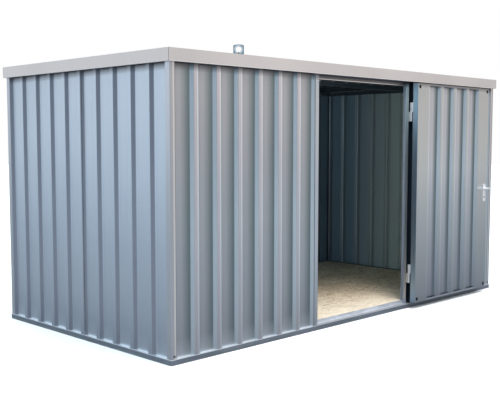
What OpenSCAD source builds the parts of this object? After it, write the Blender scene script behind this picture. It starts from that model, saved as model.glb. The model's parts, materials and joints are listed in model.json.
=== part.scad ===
// Site container of bolted, galvanised trapezoidal sheet on a folded base frame, with one
// door hinged at its right jamb. Millimetres. The origin is at ground level in the middle of
// the floor plan; +X runs along the door side and -Y is the door side. The door is drawn
// folded flat against the wall, and it shuts by turning 180 degrees about its hinge line.

/* [Plan] */
// Length of the door side, over the pans of the sheets
wall_l = 4190; // [3200:10:6100]
// Length of the ends, over the pans of the sheets
wall_w = 2120; // [1700:10:2500]

/* [Sheet profile] */
// Width of the flat top of a rib
rib_top = 40; // [30:1:60]
// Width that one sloping flank covers
flank_run = 24; // [12:1:30]
// Width of the flat pan between two ribs
pan_w = 119; // [100:1:140]
// Depth of the ribs
rib_depth = 22; // [12:1:28]
// Thickness of the profiled sheet
sheet_t = 1.5; // [0.75:0.25:2]
// Inner radius of the bends in the sheets
bend_r = 5; // [1.5:0.5:6]
// Flats that make up one bend
bend_flats = 3; // [1:1:6]
// Length of the lip that laps over the next sheet
lap_lip = 9; // [5:1:14]
// Gap between two lapped sheets
lap_gap = 0.3; // [0.1:0.1:1]
// Ribs covered by one wall or roof sheet
ribs_per_sheet = 5; // [3:1:8]

/* [Height] */
// Top of the rail that the sheets stand on
rail_h = 38; // [30:1:45]
// Top of the floor boards
floor_z = 65; // [60:1:90]
// Height of the eaves, where the roof sheets rest
eaves_z = 2062; // [1900:1:2600]
// Rise of the roof from the eaves to the ridge
roof_rise = 18; // [10:1:80]

/* [Frame] */
// Thickness of the folded frame profiles
frame_t = 2.5; // [2:0.5:4]
// Distance that the base rail stands out past the ribs
rail_out = 4; // [2:1:10]
// Width of the ledge, measured from the face of the ribs
ledge_w = 55; // [50:1:80]
// Height of the skirting over the floor
skirting_h = 11; // [5:1:25]
// Width of the foot flange of the base rail
foot_w = 45; // [30:1:50]
// Leg of a corner post
post_leg = 45; // [35:1:60]
// Width of a floor bearer
bearer_w = 60; // [40:1:80]
// Number of floor bearers
bearers = 7; // [4:1:12]
// Thickness of the floor boards
board_t = 21; // [15:1:24]
// Number of floor boards
boards = 4; // [2:1:6]
// Gap between two floor boards
board_gap = 0.6; // [0.3:0.1:2]

/* [Eaves and roof] */
// Height of the fascia
fascia_h = 87; // [75:1:110]
// Distance that the fascia reaches below the eaves
fascia_drop = 40; // [30:1:60]
// Distance that the fascia stands out past the ribs
fascia_out = 21; // [10:1:40]
// Height of the eaves beam inside the walls
beam_h = 40; // [30:1:70]
// Width of the eaves beam
beam_w = 40; // [30:1:60]
// Width of the ridge beam
ridge_w = 60; // [50:1:80]
// Height of the ridge beam
ridge_h = 40; // [30:1:60]
// Width of the ridge cap
cap_w = 220; // [160:1:300]

/* [Lifting eye] */
// Distance of the eye from the left end of the walls
eye_x = 1655; // [900:1:2000]
// Width of the eye plate
eye_w = 94; // [80:1:130]
// Thickness of the eye plate
eye_t = 12; // [8:1:20]
// Bore of the eye
eye_bore = 50; // [36:1:60]
// Height of the centre of the bore over the ridge
eye_rise = 222; // [120:1:260]
// Metal over the bore
eye_rim = 18; // [12:1:40]
// Radius of the arched top of the eye
eye_arch = 120; // [90:1:250]
// Diameter of the shank that carries the plate, standing between the roof sheets
shank_d = 20; // [14:1:22]
// How far the plate is turned from the line of the ridge, in degrees
eye_turn = 45; // [0:5:90]

/* [Doorway] */
// Ribs between the left corner and the left jamb
ribs_left = 6; // [4:1:7]
// Clear width between the jambs
opening_w = 1240; // [1150:1:1300]
// Width of the left jamb flange
jamb_w = 44; // [36:1:60]
// Distance that the stop lips reach into the doorway
stop_w = 20; // [16:1:40]
// Width of the hinge pocket beside the right jamb
pocket_w = 49; // [44:1:60]
// Depth at which the right jamb starts
pocket_lip = 15; // [8:1:20]
// Width of the jamb flange beyond the hinge pocket
pocket_flange = 24; // [16:1:30]

/* [Door] */
// Thickness of the door leaf
leaf_t = 50; // [46:1:50]
// Gap between the shut leaf and the left jamb
free_gap = 8; // [5:1:12]
// Gap between the shut leaf and the right jamb
edge_gap = 12; // [8:1:16]
// Gap between the leaf's top and the fascia
head_gap = 15; // [8:1:25]
// Distance that the shut leaf laps over the lintel
head_lap = 20; // [10:1:30]
// Distance that the shut leaf laps over the edge of the floor
sill_lap = 8; // [4:1:12]
// Width of the flat stiles of the leaf
stile_w = 186; // [150:1:220]
// Number of ribs between the stiles
door_ribs = 3; // [2:1:5]
// Depth of the pans of the door, inner side
door_depth = 25; // [16:1:27]
// Depth of the pans of the door, outer side
door_outer_depth = 16; // [8:1:18]
// Height of the lips of the leaf's end channels
end_lip = 18; // [12:1:30]
// Gap between the shut leaf and its stops
stop_gap = 5; // [5:0.5:7]
// Diameter of the corner plugs
plug_d = 32; // [20:1:34]
// Distance of the corner plugs from the leaf's sides
plug_inset = 30; // [24:1:40]

/* [Hinges] */
// Distance of the hinge line in front of the wall face
hinge_out = 16; // [14:1:24]
// Gap between the hinge line and the shut leaf's edge
hinge_side = 7; // [6:1:10]
// Diameter of the knuckles
knuckle_d = 20; // [16:1:22]
// Diameter of the hinge pin
pin_d = 12; // [8:1:13]
// Clearance of the pin in its bore
pin_gap = 0.2; // [0.1:0.05:0.4]
// Height of one knuckle
knuckle_h = 82; // [60:1:100]
// Gap between the two knuckles
knuckle_gap = 0.5; // [0.3:0.1:2]
// Height of the lower hinge's joint over the foot of the leaf
hinge_low = 257; // [150:1:400]
// Distance of the upper hinge's joint below the top of the leaf
hinge_high = 251; // [150:1:400]
// Thickness of the hinge plates
hinge_t = 4; // [3:0.5:6]
// Width of the plate on the leaf
hinge_plate = 46; // [30:1:60]

/* [Lock] */
// Height of the lever spindle
lever_z = 1035; // [900:1:1150]
// Distance of the spindle from the free edge of the leaf
backset = 50; // [45:1:60]
// Width of the lock plates
plate_w = 41; // [34:1:46]
// Height of the lock plates
plate_h = 171; // [150:1:240]
// Thickness of the lock plates
plate_t = 5; // [3:0.5:8]
// Radius of the lock plates' corners
plate_r = 7; // [2:1:16]
// Distance of the key cylinder below the spindle
key_drop = 85; // [72:1:92]
// Length of the lever from the spindle
lever_len = 76; // [60:1:130]
// Height of the lever's bar
lever_h = 20; // [14:1:24]
// Thickness of the lever's bar
lever_t = 11; // [8:1:14]
// Distance that the inner lever stands out from the leaf
lever_out = 60; // [42:1:65]
// Gap between the outer lever and the wall when the door is folded back
wall_gap = 5; // [5:1:8]
// Diameter of the spindle
spindle_d = 16; // [12:1:18]
// Clearance round the spindle
spindle_gap = 0.3; // [0.1:0.1:0.6]
// Diameter of the key cylinder
key_d = 17; // [14:1:22]
// Width of the lock case
case_w = 74; // [70:1:90]
// Thickness of the lock case
case_t = 16; // [12:1:18]
// Width of the forend, the lock's face in the leaf's edge
forend_w = 20; // [16:1:26]
// Length of the forend
forend_h = 165; // [150:1:250]
// Height of the latch
latch_h = 24; // [16:1:30]
// Thickness of the latch
latch_t = 12; // [10:1:14]
// Distance that the latch stands out of the leaf's edge
latch_out = 4; // [2:1:6]

/* [Hidden] */
$fn = 48;
eps = 0.01;
pitch = rib_top + 2 * flank_run + pan_w;
flank_a = atan2(rib_depth, flank_run);
ribs_long = ribs_in(wall_l);
ribs_short = ribs_in(wall_w);
x0 = -wall_l / 2;                                  // left end wall
sheet_z0 = rail_h;
head_gap_wall = 2;                                 // from the walls' sheets to the roof
sheet_z1 = eaves_z - head_gap_wall;
skirting_z = floor_z + skirting_h;
inner_y = ledge_w + frame_t;                       // inner face of the base rail's riser
stop_y = leaf_t + stop_gap;                        // face of the door stops
jamb_x = rib_x(ribs_left, wall_l) + jamb_w;        // left side of the clear opening
jamb_x2 = jamb_x + opening_w;                      // right side of the clear opening
post_x = jamb_x2 + pocket_w;                       // far side of the hinge pocket
min_pan = 20;                                      // narrowest pan beside a jamb
right_rib = ceil((post_x + pocket_flange + 2 * flank_run + min_pan - rib_x(0, wall_l)) / pitch);
corner_free = 12;                                  // from the corner to the sheet tucked under its post
tuck = post_leg - corner_free;
lap_back = 3;                                      // from a rib's edge to the sheet that starts under it
jamb_back = 4;                                     // from a jamb flange's root to the sheet under it
roof_edge = 4;                                     // from the wall faces to the roof sheets' ends
cap_play = 1;                                      // round the eye's shank in the ridge cap
nose_w = 16;                                       // folded nose along the lintel's lower edge
fascia_flange = 26;                                // top flange of the fascia, past the wall faces
case_end = 20;                                     // lock case beyond the key and spindle
key_slot = 3;                                      // depth of the key slot
key_slot_w = 2;
leaf_bore = spindle_d + 8;                         // bores in the leaf's sheets, under the plates
plug_head = 2;                                     // thickness of a plug's head
plug_stem = 7;                                     // depth of a plug's stem
plug_bore = plug_d - 4;                            // bore in the leaf for a plug's stem
plug_fit = 0.2;                                    // clearance of a plug's stem
knuckle_end = 6;                                   // closed end of a bored knuckle
pin_short = 10;                                    // pin less than a knuckle's height
leaf_w = opening_w - free_gap - edge_gap;
leaf_z0 = floor_z - sill_lap;
leaf_z1 = eaves_z - fascia_drop - head_gap;
lintel_z = leaf_z1 - head_lap;
hinge_z = [leaf_z0 + hinge_low, leaf_z1 - hinge_high];
latch_slot = 5;                                    // clearance of the latch in its slot
seat = 0.3;                                        // gap of a piece that rests on another
hinge_x = jamb_x2 - edge_gap + hinge_side;         // hinge line, from the left end
leaf_x = hinge_x + hinge_side;                     // hinge edge of the folded-back leaf
leaf_y0 = -hinge_out * 2;                          // outer face of the folded-back leaf
leaf_y1 = leaf_y0 - leaf_t;                        // inner face of the folded-back leaf
leaf_x2 = leaf_x + leaf_w;                         // free edge of the folded-back leaf
spindle_x = leaf_x2 - backset;
key_z = lever_z - key_drop;
roof_a = atan2(roof_rise, wall_w / 2);
ridge_z = eaves_z + roof_rise;
eye_z = ridge_z + eye_rise;
beam_y = rib_depth + sheet_t + seat;               // outer face of the eaves beams
ridge_top = eaves_z + (wall_w / 2 - ridge_w / 2) * tan(roof_a) - seat;
ridge_gap = 24;                                    // gap between the sheets of the two slopes
cap_z = eaves_z + wall_w / 2 * tan(roof_a) + (rib_depth + sheet_t) / cos(roof_a) + seat;

// ---- profiled sheet ----
// Each bend of a sheet is [x, depth, side]: side is -1 on a falling flank, 1 on a rising
// one and 0 at a square end, and it sets where the bend of the inner face lies.

// Whole ribs that fit on a wall of length l, and where rib k starts; the two pans next to
// the corners share what is left over.
function ribs_in(l) = floor((l - 2 * post_leg - 2 * flank_run - pan_w) / pitch + eps);
function rib_x(k, l) = (l - rib_top - (ribs_in(l) - 1) * pitch) / 2 + k * pitch;

function fall(x, u, d, run) = let (a = atan2(d, run), s = u * tan(a / 2))
    [[x - s, u, -1], [x - s + (d - u) / tan(a), d, -1]];
function rise(x, u, d, run) = let (a = atan2(d, run), s = u * tan(a / 2))
    [[x + s - (d - u) / tan(a), d, 1], [x + s, u, 1]];
function flat_list(l) = [for (a = l) for (b = a) b];

// One sheet: from a flat that ends at xa (tucked u deep) over the ribs ka to kb and up to a
// flat that starts at xb, on a wall of length l; with lap it laps over that flat and ends in
// a lip, else it is tucked under it.
function sheet_bends(l, xa, wa, ka, kb, xb, wb, lap) = let (u = sheet_t + lap_gap) concat(
    [[xa - wa, u, 0]], fall(xa, u, rib_depth, flank_run),
    flat_list([for (k = [ka : 1 : kb]) concat(
        rise(rib_x(k, l), 0, rib_depth, flank_run),
        fall(rib_x(k, l) + rib_top, 0, rib_depth, flank_run))]),
    lap ? concat(rise(xb, 0, rib_depth, flank_run),
            [[xb + wb, 0, -1], [xb + wb + lap_lip * cos(flank_a), lap_lip * sin(flank_a), -1]])
        : concat(rise(xb, u, rib_depth, flank_run), [[xb + wb, u, 0]]));

function turned(v, a) = [v.x * cos(a) - v.y * sin(a), v.x * sin(a) + v.y * cos(a)];

// The corner at q of the line p, q, s, rounded to the radius that suits the way it turns:
// left_r where it turns to the left, and right_r where it turns to the right
function rounded_corner(p, q, s, left_r, right_r) = let (
    u = (p - q) / norm(p - q),
    v = (s - q) / norm(s - q),
    way = sign(v.x * u.y - v.y * u.x),
    r = way > 0 ? left_r : right_r,
    a = 180 - acos(u * v),
    centre = q + (u + v) / norm(u + v) * r / cos(a / 2),
    first = q + u * r * tan(a / 2) - centre)
    [for (i = [0 : bend_flats]) centre + turned(first, way * a * i / bend_flats)];

function rounded_line(line, left_r, right_r) = let (last = len(line) - 1) concat([line[0]],
    flat_list([for (i = [1 : last - 1])
        rounded_corner(line[i - 1], line[i], line[i + 1], left_r, right_r)]), [line[last]]);

// The section of a bent sheet of thickness t, with its outer face on the given bends; a is
// the angle of the bends
module bent(bends, t, a) {
    s = t * tan(a / 2);
    outer = rounded_line([for (b = bends) [b.x, b.y]], bend_r + t, bend_r);
    inner = rounded_line([for (b = bends) [b.x + b.z * s, b.y + t]], bend_r, bend_r + t);
    polygon(concat(outer, [for (i = [len(inner) - 1 : -1 : 0]) inner[i]]));
}

// A wall of lapped sheets from its left corner post to its right one, outer face at y = 0
module wall_sheets(l, z_low, z_high) {
    ribs = ribs_in(l);
    last = ceil((ribs + 1) / ribs_per_sheet) - 1;
    translate([0, 0, z_low]) linear_extrude(z_high - z_low)
        for (i = [0 : last]) {
            k = i * ribs_per_sheet - 1;                // rib that this sheet starts under
            k2 = min(ribs, k + ribs_per_sheet);        // rib that it laps over, or the corner
            bent(sheet_bends(l,
                i == 0 ? post_leg : rib_x(k, l) + rib_top, i == 0 ? tuck : rib_top - lap_back,
                k + 1, k2 - 1,
                k2 == ribs ? l - post_leg : rib_x(k2, l),
                k2 == ribs ? tuck : rib_top, k2 < ribs), sheet_t, flank_a);
        }
}

// ---- frame profiles ----

// A bar along +X whose two ends are mitred at 45 degrees; its section is drawn in Y and Z
module mitred(length, depth, height) {
    intersection() {
        rotate([90, 0, 90]) linear_extrude(length) children();
        linear_extrude(height) polygon([[0, 0], [length, 0],
            [length - depth, depth], [depth, depth]]);
    }
}

// Moves a side's parts from the door side to side n of the plan: 0 door side, 1 right end,
// 2 back, 3 left end; the side's own X runs from its left corner and +Y points inwards
module side(n) {
    l = n % 2 == 0 ? wall_l : wall_w;
    w = n % 2 == 0 ? wall_w : wall_l;
    rotate([0, 0, 90 * n]) translate([-l / 2, -w / 2, 0]) children();
}
function side_l(n) = n % 2 == 0 ? wall_l : wall_w;

module base_section() {
    foot = foot_w - frame_t;
    square([frame_t, rail_h]);
    square([foot_w, frame_t]);
    translate([0, rail_h - frame_t]) square([rail_out + inner_y, frame_t]);
    translate([rail_out + ledge_w, rail_h - frame_t])
        square([frame_t, skirting_z - rail_h + frame_t]);
    translate([foot, 0]) square([frame_t, frame_t * 3]);
}

module base_rail(n) {
    color("slategray") side(n) translate([-rail_out, -rail_out, 0])
        mitred(side_l(n) + 2 * rail_out, rail_out + inner_y, skirting_z) base_section();
}

module base_rail_front() {
    difference() {
        base_rail(0);
        side(0) translate([jamb_x - frame_t - seat, ledge_w - eps, floor_z])
            cube([post_x - jamb_x + frame_t + 2 * seat, frame_t + 2 * eps, skirting_h + 1]);
    }
}

module floor_bearers() {
    step = (wall_l - 2 * inner_y - bearer_w) / (bearers - 1);
    h = floor_z - board_t;
    color("slategray") side(0)
        for (i = [0 : bearers - 1]) translate([inner_y + i * step, inner_y, 0])
            difference() {
                cube([bearer_w, wall_w - 2 * inner_y, h]);
                translate([frame_t, -eps, frame_t])
                    cube([bearer_w, wall_w - 2 * inner_y + 2 * eps, h - 2 * frame_t]);
            }
}

module floor_boards() {
    w = (wall_l - 2 * inner_y - (boards - 1) * board_gap) / boards;
    color("burlywood") side(0)
        for (i = [0 : boards - 1])
            translate([inner_y + i * (w + board_gap), inner_y, floor_z - board_t])
                cube([w, wall_w - 2 * inner_y, board_t]);
}

module corner_posts() {
    color("silver") for (n = [0 : 3]) side(n) translate([0, 0, sheet_z0])
        linear_extrude(sheet_z1 - sheet_z0)
            polygon([[0, 0], [post_leg, 0], [post_leg, sheet_t], [sheet_t, sheet_t],
                [sheet_t, post_leg], [0, post_leg]]);
}

// ---- walls ----

module front_wall_left() {
    color("silver") side(0) translate([0, 0, sheet_z0]) linear_extrude(sheet_z1 - sheet_z0)
        bent(sheet_bends(wall_l, post_leg, tuck, 0, ribs_left - 1,
            rib_x(ribs_left, wall_l), jamb_w - jamb_back, false), sheet_t, flank_a);
}

module front_wall_right() {
    color("silver") side(0) translate([0, 0, sheet_z0]) linear_extrude(sheet_z1 - sheet_z0)
        bent(sheet_bends(wall_l, post_x + pocket_flange, pocket_flange - jamb_back,
            right_rib, ribs_long - 1, wall_l - post_leg, tuck, false), sheet_t, flank_a);
}

module back_wall() { color("silver") side(2) wall_sheets(wall_l, sheet_z0, sheet_z1); }
module left_wall() { color("silver") side(3) wall_sheets(wall_w, sheet_z0, sheet_z1); }
module right_wall() { color("silver") side(1) wall_sheets(wall_w, sheet_z0, sheet_z1); }

// ---- doorway ----

// Cuts the jambs round the skirting of the base rail and under the eaves beam
module jamb_cuts() {
    l = post_x + pocket_flange;
    translate([0, ledge_w - seat, 0]) cube([l, stop_y, floor_z + seat]);
    translate([0, beam_y - seat, eaves_z - beam_h - seat]) cube([l, stop_y, beam_h + 1]);
}

// Left jamb: flange over the sheet, reveal and stop lip, with the slot for the latch
module left_jamb() {
    t = frame_t;
    color("silver") side(0) difference() {
        translate([0, 0, sheet_z0]) linear_extrude(sheet_z1 - sheet_z0)
            polygon([[jamb_x - jamb_w, 0], [jamb_x, 0], [jamb_x, stop_y],
                [jamb_x + stop_w, stop_y], [jamb_x + stop_w, stop_y + t],
                [jamb_x - t, stop_y + t], [jamb_x - t, sheet_t], [jamb_x - jamb_w, sheet_t]]);
        translate([jamb_x - 2 * t, (leaf_t - latch_t) / 2 - latch_slot,
                lever_z - latch_h / 2 - latch_slot])
            cube([3 * t, latch_t + 2 * latch_slot, latch_h + 2 * latch_slot]);
        jamb_cuts();
    }
}

// Right jamb: stop lip, web, back of the hinge pocket and the flange over the right sheet
module right_jamb() {
    t = frame_t;
    color("silver") side(0) difference() {
        translate([0, 0, sheet_z0]) linear_extrude(sheet_z1 - sheet_z0)
            polygon([[jamb_x2, pocket_lip], [jamb_x2 + t, pocket_lip], [jamb_x2 + t, stop_y],
                [post_x - t, stop_y], [post_x - t, 0], [post_x + pocket_flange, 0],
                [post_x + pocket_flange, sheet_t], [post_x, sheet_t], [post_x, stop_y + t],
                [jamb_x2 - stop_w, stop_y + t], [jamb_x2 - stop_w, stop_y], [jamb_x2, stop_y]]);
        jamb_cuts();
    }
}

// Lintel: stop plate over the doorway with a folded nose along its lower edge
module lintel() {
    t = frame_t;
    l = opening_w - 2 * stop_w - 2 * seat;
    color("silver") side(0) translate([jamb_x + stop_w + seat, 0, 0])
        rotate([90, 0, 90]) linear_extrude(l)
            polygon([[stop_y, lintel_z], [stop_y + nose_w, lintel_z], [stop_y + nose_w, lintel_z + t],
                [stop_y + t, lintel_z + t], [stop_y + t, eaves_z - beam_h - seat],
                [stop_y, eaves_z - beam_h - seat]]);
}

// ---- eaves and roof ----

module eaves_section() {
    t = frame_t;
    polygon([[0, 0], [beam_w, 0], [beam_w, 2 * t], [beam_w - t, 2 * t], [beam_w - t, t],
        [t, t], [t, beam_h - t], [beam_w - t, beam_h - t], [beam_w - t, beam_h - 2 * t],
        [beam_w, beam_h - 2 * t], [beam_w, beam_h], [0, beam_h]]);
}

module eaves_beam(n) {
    color("gray") side(n) translate([beam_y, beam_y, eaves_z - beam_h])
        rotate([90, 0, 90]) linear_extrude(side_l(n) - 2 * beam_y) eaves_section();
}
module eaves_beam_front() { eaves_beam(0); }
module eaves_beam_back() { eaves_beam(2); }

// Gable beam: a plate with a sloping top and a foot flange, between the eaves beams
module gable_beam(n) {
    l = wall_w - 2 * (beam_y + beam_w + seat);
    color("gray") side(n) translate([beam_y + beam_w + seat, beam_y, eaves_z - beam_h]) {
        translate([0, frame_t, 0]) rotate([90, 0, 0]) linear_extrude(frame_t)
            polygon([[0, 0], [l, 0], [l, gable_top(0)], [l / 2, gable_top(l / 2)],
                [0, gable_top(0)]]);
        cube([l, beam_w, frame_t]);
    }
}
function gable_top(x) = beam_h + (beam_y + beam_w + x) * tan(roof_a) - seat;
module gable_beam_left() { gable_beam(3); }
module gable_beam_right() { gable_beam(1); }

module ridge_beam() {
    l = wall_l - 2 * (beam_y + frame_t + seat);
    color("gray") translate([-l / 2, -ridge_w / 2, ridge_top - ridge_h]) difference() {
        cube([l, ridge_w, ridge_h]);
        translate([-eps, frame_t, frame_t])
            cube([l + 2 * eps, ridge_w - 2 * frame_t, ridge_h - 2 * frame_t]);
    }
}

// One slope of the roof: ribbed sheets from the eaves to the ridge, ribs along the slope
module roof_slope(n) {
    span = (wall_w / 2 - ridge_gap / 2) / cos(roof_a) - roof_edge;
    color("lightgray") side(n)
        translate([0, roof_edge, eaves_z + roof_edge * tan(roof_a)]) rotate([roof_a, 0, 0])
            translate([0, 0, rib_depth + sheet_t]) rotate([-90, 0, 0])
                wall_sheets(wall_l, 0, span);
}
module roof_front() { roof_slope(0); }
module roof_back() { roof_slope(2); }

module ridge_cap() {
    l = wall_l - 2 * roof_edge;
    drop = cap_w / 2 * tan(roof_a);
    color("lightgray") difference() {
        translate([-l / 2, 0, cap_z]) rotate([90, 0, 90]) linear_extrude(l)
            polygon([[-cap_w / 2, -drop], [0, 0], [cap_w / 2, -drop],
                [cap_w / 2, sheet_t - drop], [0, sheet_t], [-cap_w / 2, sheet_t - drop]]);
        at_eye() translate([0, 0, cap_z - drop])
            cylinder(h = 2 * drop + sheet_t, d = shank_d + 2 * cap_play);
    }
}

// Places what follows on the eye's axis, turned as its plate stands
module at_eye() {
    translate([x0 + eye_x, 0, 0]) rotate(-eye_turn) children();
}

// Lifting eye: a plate with a rounded head over the ridge cap, on a shank that stands on the
// ridge beam
module lifting_eye() {
    foot = cap_z + sheet_t + seat;
    top = eye_z + eye_bore / 2 + eye_rim;
    color("silver") at_eye() {
        translate([0, 0, ridge_top]) cylinder(h = foot - ridge_top + eye_t / 2, d = shank_d);
        translate([0, eye_t / 2, 0]) rotate([90, 0, 0]) difference() {
            linear_extrude(eye_t) intersection() {
                translate([-eye_w / 2, foot]) square([eye_w, top - foot]);
                union() {
                    translate([0, top - eye_arch]) circle(r = eye_arch, $fn = 192);
                    translate([-eye_w / 2, foot]) square([eye_w, eye_z - foot]);
                }
            }
            translate([0, eye_z, -eps]) cylinder(h = eye_t + 2 * eps, d = eye_bore, $fn = 96);
        }
    }
}

// Fascia: an upright with a flange at its top and a lip at its foot
module fascia(n) {
    t = frame_t;
    z = eaves_z - fascia_drop;
    color("gainsboro") side(n) translate([-fascia_out, -fascia_out, z])
        mitred(side_l(n) + 2 * fascia_out, fascia_out + fascia_flange, fascia_h)
            polygon([[0, 0], [fascia_out - seat, 0], [fascia_out - seat, t], [t, t],
                [t, fascia_h - t], [fascia_out + fascia_flange, fascia_h - t],
                [fascia_out + fascia_flange, fascia_h], [0, fascia_h]]);
}
module fascia_front() { fascia(0); }
module fascia_back() { fascia(2); }
module fascia_left() { fascia(3); }
module fascia_right() { fascia(1); }

// ---- door, drawn folded back against the wall ----

// Leaf frame: +X from the hinge edge, +Y from the outer face (next to the wall) outwards
module leaf() {
    side(0) translate([leaf_x, leaf_y0, 0]) mirror([0, 1, 0]) children();
}

// Bends of a leaf sheet between its stiles, for pans of depth d
function leaf_bends(d, run) =
    let (w = (leaf_w - 2 * stile_w - door_ribs * rib_top) / (door_ribs + 1))
    flat_list([for (k = [0 : door_ribs]) let (x = stile_w + k * (w + rib_top))
        concat(fall(x, 0, d, run), rise(x + w, 0, d, run))]);

module door_inner_sheet() {
    t = sheet_t;
    h = leaf_z1 - leaf_z0 - 2 * t;
    a = atan2(door_depth, flank_run);
    color("silver") leaf() difference() {
        translate([0, 0, leaf_z0 + t]) union() {
            linear_extrude(h) translate([0, leaf_t]) mirror([0, 1])
                bent(concat([[0, 0, 0]], leaf_bends(door_depth, flank_run), [[leaf_w, 0, 0]]), t, a);
            for (x = [0, leaf_w - t]) translate([x, t, 0]) cube([t, leaf_t - t, h]);
        }
        leaf_bores();
        end_notches(leaf_t - door_depth - 2 * t, door_depth + 3 * t);
        translate([leaf_w - t, leaf_t / 2, (lever_z + key_z) / 2])
            cube([4 * t, forend_w + 2 * seat, forend_h + 2 * seat], center = true);
    }
}

module door_outer_sheet() {
    t = sheet_t;
    a = atan2(door_outer_depth, flank_run);
    color("silver") leaf() difference() {
        translate([0, 0, leaf_z0 + t]) linear_extrude(leaf_z1 - leaf_z0 - 2 * t)
            bent(concat([[0, 0, 0]], leaf_bends(door_outer_depth, flank_run),
                [[leaf_w, 0, 0]]), t, a);
        leaf_bores();
        end_notches(-t, door_outer_depth + 3 * t);
    }
}

// Cuts the ribbed middle of a leaf sheet back at both ends, for the lips of the end channels
module end_notches(y, depth) {
    for (z = [leaf_z0 - end_lip, leaf_z1 - end_lip])
        translate([stile_w, y, z]) cube([leaf_w - 2 * stile_w, depth, 2 * end_lip]);
}

// The four corners of the leaf's inner face, +Z out of it
module at_plugs() {
    for (x = [plug_inset, leaf_w - plug_inset], z = [leaf_z0 + plug_inset, leaf_z1 - plug_inset])
        translate([x, leaf_t, z]) rotate([-90, 0, 0]) children();
}

// Bores for the spindle, the key cylinder and the plugs
module leaf_bores() {
    translate([leaf_w - backset, -1, 0]) for (z = [lever_z, key_z])
        translate([0, 0, z]) rotate([-90, 0, 0]) cylinder(h = leaf_t + 2, d = leaf_bore);
    at_plugs() translate([0, 0, -plug_stem - 1]) cylinder(h = plug_stem + 2, d = plug_bore);
}

// End channels: caps over the top and the foot of the leaf, with lips between the stiles
module door_end_channels() {
    t = sheet_t;
    l = leaf_w - 2 * stile_w - 2 * seat;
    color("silver") leaf() for (top = [0, 1])
        translate([0, 0, top == 1 ? leaf_z1 : leaf_z0]) mirror([0, 0, top]) {
            cube([leaf_w, leaf_t, t]);
            for (y = [0, leaf_t - t]) translate([stile_w + seat, y, 0]) cube([l, t, end_lip - seat]);
        }
}

module door_plugs() {
    stem_d = plug_bore - 2 * plug_fit;
    color("#1c1d1f") leaf() at_plugs() {
        cylinder(h = plug_head, d = plug_d);
        translate([0, 0, -plug_stem]) cylinder(h = plug_stem + eps, d = stem_d);
    }
}

// ---- hinges ----

module knuckle(z) {
    translate([hinge_x, -hinge_out, z]) cylinder(h = knuckle_h, d = knuckle_d);
}

// Jamb halves: knuckle with the pin, and a plate that runs back into the hinge pocket
module hinges_fixed() {
    low = knuckle_gap / 2 + knuckle_h;
    color("gainsboro") side(0) for (z = hinge_z) {
        knuckle(z - low);
        translate([hinge_x, -hinge_out, z - low]) cylinder(h = low + knuckle_h - pin_short, d = pin_d);
        translate([jamb_x2 + frame_t, -hinge_out, z - low])
            cube([hinge_t, hinge_out + stop_y - seat, knuckle_h]);
    }
}

// Leaf halves: bored knuckle with a cranked plate on the outer face of the leaf
module hinges_moving() {
    color("gainsboro") side(0) for (z = hinge_z) difference() {
        union() {
            knuckle(z + knuckle_gap / 2);
            translate([hinge_x, leaf_y0, z + knuckle_gap / 2])
                cube([hinge_side + hinge_plate, hinge_t, knuckle_h]);
            translate([hinge_x, leaf_y0, z + knuckle_gap / 2])
                cube([hinge_side - seat, hinge_out, knuckle_h]);
        }
        translate([hinge_x, -hinge_out, z - 1])
            cylinder(h = knuckle_h - knuckle_end, d = pin_d + 2 * pin_gap);
    }
}

// ---- lock ----

// Lock case inside the free stile, with its forend in the leaf's edge and the latch
module lock_case() {
    case_x = leaf_w - sheet_t;
    color("dimgray") leaf() difference() {
        union() {
            translate([case_x - case_w, (leaf_t - case_t) / 2, key_z - case_end])
                cube([case_w + eps, case_t, key_drop + 2 * case_end]);
            translate([case_x, (leaf_t - forend_w) / 2, (lever_z + key_z - forend_h) / 2])
                cube([sheet_t, forend_w, forend_h]);
            translate([case_x, (leaf_t - latch_t) / 2, lever_z - latch_h / 2])
                cube([sheet_t + latch_out, latch_t, latch_h]);
        }
        translate([leaf_w - backset, 0, lever_z]) rotate([-90, 0, 0])
            cylinder(h = leaf_t, d = spindle_d + 2 * spindle_gap);
        translate([leaf_w - backset, 0, key_z]) rotate([-90, 0, 0])
            cylinder(h = leaf_t, d = key_d + 2 * seat);
    }
}

module rounded_plate(w, h, r) {
    square([w - 2 * r, h], center = true);
    square([w, h - 2 * r], center = true);
    for (x = [-1, 1], y = [-1, 1])
        translate([x * (w / 2 - r), y * (h / 2 - r)]) circle(r = r);
}

module lock_plate() {
    difference() {
        translate([0, plate_t, (lever_z + key_z) / 2]) rotate([90, 0, 0])
            linear_extrude(plate_t) rounded_plate(plate_w, plate_h, plate_r);
        translate([0, -1, lever_z]) rotate([-90, 0, 0])
            cylinder(h = plate_t + 2, d = spindle_d + 2 * spindle_gap);
        translate([0, -1, key_z]) rotate([-90, 0, 0]) cylinder(h = plate_t + 2, d = key_d + 2 * seat);
    }
}

module lock_plate_inner() {
    color("gainsboro") leaf() translate([leaf_w - backset, leaf_t, 0]) lock_plate();
}
module lock_plate_outer() {
    color("gainsboro") leaf() translate([leaf_w - backset, 0, 0]) mirror([0, 1, 0]) lock_plate();
}

// Key cylinder through the leaf, level with the faces of both lock plates
module key_cylinder() {
    color("silver") leaf() translate([leaf_w - backset, -plate_t, key_z]) rotate([-90, 0, 0])
        difference() {
            cylinder(h = leaf_t + 2 * plate_t, d = key_d);
            for (y = [-1, leaf_t + 2 * plate_t - key_slot])
                translate([-key_slot_w / 2, -key_d / 4, y])
                    cube([key_slot_w, key_d / 2, key_slot + 1]);
        }
}

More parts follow.
